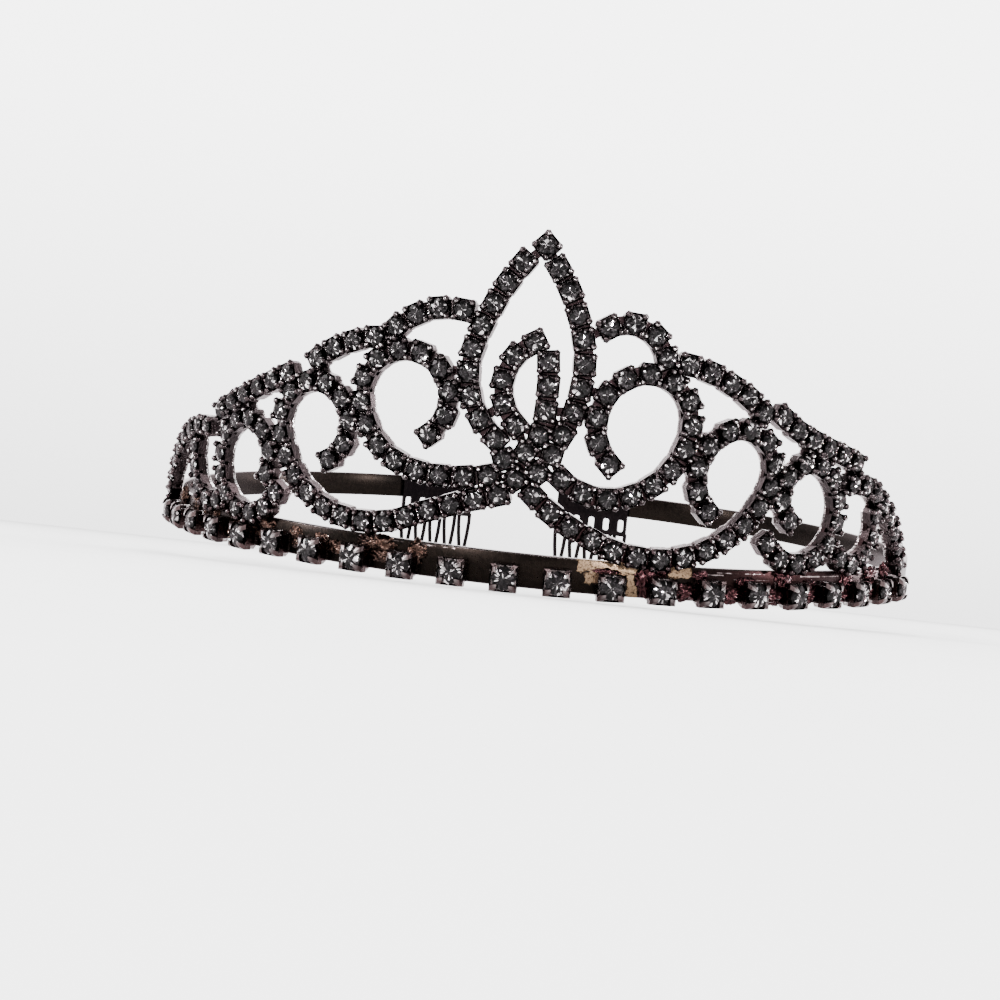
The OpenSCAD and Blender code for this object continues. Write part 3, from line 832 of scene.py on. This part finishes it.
# %% Chips about the middle of a stone
def facet_chips(tree, cut, turn, out, across, outwards):
    """Random values in wedges about the stone's middle, so many to a radian and to a radius."""
    wedge = add(tree, "ShaderNodeCombineXYZ")
    tree.links.new(math_node(tree, "MULTIPLY", turn, across), wedge.inputs[0])
    tree.links.new(math_node(tree, "MULTIPLY", out, outwards), wedge.inputs[1])
    tree.links.new(math_node(tree, "MULTIPLY", cut.outputs["Z"], 17.0), wedge.inputs[2])
    cells = add(tree, "ShaderNodeTexVoronoi", feature="F1")
    cells.inputs["Scale"].default_value = 1.0
    tree.links.new(wedge.outputs[0], cells.inputs["Vector"])
    split = add(tree, "ShaderNodeSeparateColor")
    tree.links.new(cells.outputs["Color"], split.inputs[0])
    return split

def tilt_chips(tree, wedges):
    """The surface's normal, tilted for each chip by its place among the wedges."""
    askew = add(tree, "ShaderNodeVectorMath", operation="SUBTRACT")
    tree.links.new(wedges, askew.inputs[0])
    askew.inputs[1].default_value = (0.5, 0.5, 0.5)
    tilted = add(tree, "ShaderNodeVectorMath", operation="MULTIPLY_ADD")
    tree.links.new(askew.outputs[0], tilted.inputs[0])
    tilted.inputs[1].default_value = (0.5, 0.5, 0.5)
    tree.links.new(add(tree, "ShaderNodeNewGeometry").outputs["Normal"], tilted.inputs[2])
    straight = add(tree, "ShaderNodeVectorMath", operation="NORMALIZE")
    tree.links.new(tilted.outputs[0], straight.inputs[0])
    return straight.outputs[0]

print("helpers for chips are ready")

# %% Stone finishes
SMOKE = [(0.28, (0.0012, 0.0010, 0.0010)), (0.5, (0.0034, 0.0028, 0.0030)),
         (0.62, (0.0075, 0.0062, 0.0066)), (0.80, (0.028, 0.024, 0.026))]
LIT_CHIP = (0.72, 0.67, 0.68)

def smoky(name, lit_share):
    """A stone of dark chips; this share of the small ones shows a lamp."""
    material = bpy.data.materials.new(name)
    material.use_nodes = True
    tree = material.node_tree
    shader = tree.nodes["Principled BSDF"]
    tone = add(tree, "ShaderNodeAttribute", attribute_name="tone")
    cut = add(tree, "ShaderNodeSeparateXYZ")
    tree.links.new(add(tree, "ShaderNodeAttribute", attribute_name="cut").outputs["Vector"], cut.inputs[0])
    across, up = cut.outputs["X"], cut.outputs["Y"]
    turn = math_node(tree, "ARCTAN2", up, across)
    out = math_node(tree, "SQRT", math_node(tree, "ADD", math_node(tree, "MULTIPLY", across, across),
                                            math_node(tree, "MULTIPLY", up, up)))
    wide = facet_chips(tree, cut, turn, out, 2.1, 2.8)
    thin = facet_chips(tree, cut, turn, out, 5.5, 3.6)
    inner = math_node(tree, "ADD", math_node(tree, "MULTIPLY", tone.outputs["Fac"], 0.28),
                      math_node(tree, "ADD", math_node(tree, "MULTIPLY", wide.outputs[0], 0.34),
                                math_node(tree, "MULTIPLY", thin.outputs[0], 0.38)))
    shades = ramp_node(tree, inner, SMOKE)
    full = 1.0 - lit_share
    spark = ramp_node(tree, thin.outputs[1], [(full - 0.108, (0.0,)), (full - 0.068, (0.04,)),
                                              (full - 0.018, (0.07,)), (full, (1.0,))])
    blaze = ramp_node(tree, wide.outputs[2], [(0.965, (0.0,)), (0.980, (1.0,))])
    lit = math_node(tree, "MAXIMUM", spark.outputs["Color"], blaze.outputs["Color"])
    tree.links.new(mix_colour(tree, lit, shades.outputs["Color"], LIT_CHIP), shader.inputs["Base Color"])
    rough = math_node(tree, "ADD", math_node(tree, "MULTIPLY", wide.outputs[1], 0.12), 0.05)
    tree.links.new(rough, shader.inputs["Roughness"])
    chip_colours = wide.inputs[0].links[0].from_socket
    tree.links.new(tilt_chips(tree, chip_colours), shader.inputs["Normal"])
    shader.inputs["Metallic"].default_value = 0.9
    shader.inputs["Specular Tint"].default_value = (0.5, 0.46, 0.47, 1)
    shader.inputs["Coat Weight"].default_value = 0.12
    shader.inputs["Coat Roughness"].default_value = 0.04
    shader.inputs["Coat IOR"].default_value = 1.55
    return material

foot_stone_finish = smoky("foot_stone", lit_share=0.055)
small_stone_finish = smoky("small_stone", lit_share=0.017)
print("materials:", foot_stone_finish.name, small_stone_finish.name)

# %% Lay the stones in their cups
def lay_stones(name, pattern, places, darkest, material):
    """One group's stones; darkest is the lowest tone that a facet gets."""
    stones = copies(bmesh.new(), pattern, places)
    tone = stones.loops.layers.float.new("tone")
    cut = stones.loops.layers.float_vector["cut"]
    for number, face in enumerate(stones.faces):
        value, which = luck.uniform(darkest, 1.0), number // len(pattern.polygons)
        for corner in face.loops:
            corner[tone] = value
            corner[cut].z = which
    finish_piece("cut_stones_" + name, stones, material, "stones_" + name)

lay_stones("foot", foot_stone, foot_places, 0.35, foot_stone_finish)
for name in groups:
    lay_stones(name, small_stone, cup_places[name], 0.0, small_stone_finish)

# %% [markdown]
# ## Combs
# Each comb is a curved plate with oval slots and five teeth. A tooth is two wires that run
# down from the plate and meet in one stem with a rounded tip. The comb is drawn flat, which
# is easy to measure, and then bent to the band's curve in one go.

# %% Draw a comb's plate and its rods
def run_down(shape, points, sides=8):
    """Extrudes a round rod along points, each (x, z, radius)."""
    x, z, radius = points[0]
    rim = bmesh.ops.create_circle(shape, cap_ends=True, segments=sides, radius=radius,
                                  matrix=Matrix.Translation((x, 0, z)))["verts"]
    cap = rim[0].link_faces[0]
    for x2, z2, radius2 in points[1:]:
        made = bmesh.ops.extrude_face_region(shape, geom=[cap, *cap.edges])["geom"]
        cap = next(g for g in made if isinstance(g, bmesh.types.BMFace))
        middle, k = cap.calc_center_median(), radius2 / radius
        bmesh.ops.scale(shape, vec=(k, k, 1), space=Matrix.Translation(-middle), verts=cap.verts)
        bmesh.ops.translate(shape, vec=(x2 - x, 0, z2 - z), verts=cap.verts)
        x, z, radius = x2, z2, radius2

SLOT_FROM, SLOT_UP_TO, SLOT_HALF = 1.0, 3.8, 0.7

def comb_plate(comb, slots):
    """A plate with a rounded slot above each tooth, its foot at height nought."""
    bmesh.ops.create_grid(comb, x_segments=1, y_segments=1, size=0.5)
    bmesh.ops.scale(comb, vec=(COMB_WIDTH, COMB_PLATE, 1), verts=comb.verts)
    bmesh.ops.rotate(comb, matrix=Matrix.Rotation(math.radians(90), 3, "X"), verts=comb.verts)
    bmesh.ops.translate(comb, vec=(0, 0, COMB_PLATE / 2), verts=comb.verts)
    cuts = [((x + d, 0, 0), (1, 0, 0)) for x in slots for d in (-SLOT_HALF, SLOT_HALF, TOOTH_PITCH / 2)]
    cuts += [((0, 0, z), (0, 0, 1)) for z in (SLOT_FROM, SLOT_UP_TO)]
    for point, normal in cuts:
        bmesh.ops.bisect_plane(comb, geom=comb.verts[:] + comb.edges[:] + comb.faces[:], dist=1e-5,
                               plane_co=point, plane_no=normal)
    holes = [f for f in comb.faces if SLOT_FROM < f.calc_center_median().z < SLOT_UP_TO
             and min(abs(f.calc_center_median().x - x) for x in slots) < 0.1]
    rims = {v for f in holes for v in f.verts}
    bmesh.ops.delete(comb, geom=holes, context="FACES_ONLY")
    bmesh.ops.bevel(comb, geom=[v for v in comb.verts if v in rims], offset=0.5,
                    affect="VERTICES", segments=3, profile=0.5, material=-1)
    bmesh.ops.solidify(comb, geom=comb.faces[:], thickness=COMB_THICK)
    shut = [e for e in comb.edges if e.is_manifold and e.calc_face_angle(0) > 1.2]
    bmesh.ops.bevel(comb, geom=shut, offset=0.14, affect="EDGES", segments=1, profile=0.5, material=-1)
    low = min(v.co.y for v in comb.verts)
    bmesh.ops.translate(comb, vec=(0, -low - COMB_THICK / 2, 0), verts=comb.verts)

print("slots are", SLOT_UP_TO - SLOT_FROM, "mm high")

# %% Draw a whole comb and bend it
WIRES_MEET, TOOTH_END, WIRE = -TOOTH_LENGTH * 0.67, -TOOTH_LENGTH + TIP, 0.45
# A wire's distance from the tooth's middle at each height, and the stem's radius at each height
BEND = [(1.25, 0.6), (1.22, -1.5), (1.02, -4.0), (0.72, -6.5), (0.38, WIRES_MEET),
        (0.2, WIRES_MEET - 1.2)]
STEM = [(0.35, WIRES_MEET + 0.6), (0.62, WIRES_MEET), (0.58, WIRES_MEET - 2.0),
        (0.55, TOOTH_END + 0.2), (0.60, TOOTH_END), (0.5, TOOTH_END - 0.35), (0.2, TOOTH_END - 0.6)]

def hair_comb(name, middle_angle, drop):
    """A comb at an angle round the ring, lowered on the band by drop."""
    slots = [(k - (TEETH - 1) / 2) * TOOTH_PITCH for k in range(TEETH)]
    comb = bmesh.new()
    comb_plate(comb, slots)
    plate_faces = set(comb.faces)
    for x in slots:
        for hand in (-1, 1):
            run_down(comb, [(x + hand * off, z, WIRE) for off, z in BEND])
        run_down(comb, [(x, z, radius) for radius, z in STEM])
    bmesh.ops.recalc_face_normals(comb, faces=comb.faces)
    wear_and_glint = comb.loops.layers.float.new("wear_and_glint")
    for face in comb.faces:
        face.smooth = face not in plate_faces
        small = face in plate_faces and face.calc_area() < 1.2
        for corner in face.loops:
            corner[wear_and_glint] = 0.3 if small or corner.vert.co.z < TOOTH_END else 0.0
    for vert in comb.verts:
        angle = math.radians(middle_angle) + vert.co.x / COMB_RADIUS
        radius = TOOTH_RADIUS - vert.co.y
        height = vert.co.z + COMB_TOP - COMB_PLATE - drop
        vert.co = (radius * math.sin(angle), RING - radius * math.cos(angle), height)
    bmesh.ops.transform(comb, matrix=REST, verts=comb.verts)
    finish_piece(name + "_bent", comb, comb_metal, name)

comb_metal, _, _ = plated("comb_metal", rose=(0.0060, 0.0044, 0.0048), gunmetal=(0.0024, 0.0019, 0.0022),
                          patches=70.0, rough=0.22, bump=0.3, thin=(0.014, 0.011, 0.012))
hair_comb("comb_left", -left_comb, 0.0)
hair_comb("comb_right", right_comb, right_drop)

# %% [markdown]
# ## Floor, light and surroundings
# Polished things show what is round them. A pale floor and a pale horizon give the soft
# greys, a darker ceiling gives the contrast, and a handful of small bright lamps give the
# glints, as in a shop window. The floor ends a short way behind the tiara. Further off it
# would be out of the lamps' reach and draw a dark strip under the pale sky.

# %% Lay the floor, in metres
FLOOR_RADIUS, FLOOR_BEHIND = 3.0, 0.8
ground = bmesh.new()
bmesh.ops.create_circle(ground, cap_ends=True, segments=96, radius=FLOOR_RADIUS,
                        matrix=Matrix.Translation((0, FLOOR_BEHIND - FLOOR_RADIUS, 0)))
floor_mesh = bpy.data.meshes.new("floor")
ground.to_mesh(floor_mesh)
ground.free()
floor = bpy.data.objects.new("floor", floor_mesh)
bpy.context.scene.collection.objects.link(floor)
paper = bpy.data.materials.new("pale_paper")
paper.use_nodes = True
tree = paper.node_tree
shader = tree.nodes["Principled BSDF"]
fibre = noise_node(tree, add(tree, "ShaderNodeTexCoord").outputs["Object"], 60.0, 5.0)
tint = ramp_node(tree, fibre.outputs["Fac"], [(0.3, (0.95, 0.95, 0.95)), (0.7, (0.97, 0.97, 0.97))])
tree.links.new(tint.outputs["Color"], shader.inputs["Base Color"])
shader.inputs["Roughness"].default_value = 0.8
shader.inputs["Specular IOR Level"].default_value = 0.0
floor_mesh.materials.append(paper)
print("the floor ends", FLOOR_BEHIND, "m behind the tiara")

# %% Surroundings: pale at the back, darker overhead and in front
SKY_STRENGTH = 6.0
SKY = [(0.0, (0.56,)), (0.30, (0.95,)), (0.45, (1.0,)), (0.62, (0.33,))]
FRONT_TO_BACK = [(0.25, (0.22,)), (0.72, (1.0,))]
world = bpy.data.worlds.new("studio")
bpy.context.scene.world = world
world.use_nodes = True
tree = world.node_tree
heading = add(tree, "ShaderNodeTexCoord").outputs["Generated"]
split = add(tree, "ShaderNodeSeparateXYZ")
tree.links.new(heading, split.inputs[0])
sky = ramp_node(tree, split.outputs["Z"], SKY)
halfway = math_node(tree, "ADD", math_node(tree, "MULTIPLY", split.outputs["Y"], 0.5), 0.5)
depth = ramp_node(tree, halfway, FRONT_TO_BACK)
glow = mix_colour(tree, sky.outputs["Color"], (0.0, 0.0, 0.0), depth.outputs["Color"])
tree.links.new(glow, tree.nodes["Background"].inputs["Color"])
tree.nodes["Background"].inputs["Strength"].default_value = SKY_STRENGTH
print("surroundings:", world.name)

# %% Lamps: name, place in metres, side length in metres, watts
LAMPS = [("glint_f", (0.62, 0.30, 0.12), 0.10, 5.0), ("window_left", (-0.60, -0.40, 0.55), 0.40, 9.0),
         ("overhead", (0.1, 0.25, 0.80), 0.60, 10.0), ("glint_a", (-0.22, -0.72, 0.13), 0.07, 4.0),
         ("glint_b", (0.34, -0.66, 0.11), 0.06, 3.4), ("glint_c", (-0.62, -0.30, 0.10), 0.06, 3.4),
         ("glint_d", (0.08, -0.60, 0.36), 0.05, 2.0), ("glint_e", (0.66, -0.22, 0.10), 0.06, 3.0)]
AIM = Vector((0, -0.03, 0.02))
for name, place, size, watts in LAMPS:
    data = bpy.data.lights.new(name, "AREA")
    data.size, data.energy = size, watts
    lamp = bpy.data.objects.new(name, data)
    lamp.location = place
    lamp.visible_camera = False
    lamp.rotation_euler = (AIM - Vector(place)).to_track_quat("-Z", "Y").to_euler()
    bpy.context.scene.collection.objects.link(lamp)
print(len(LAMPS), "lamps")
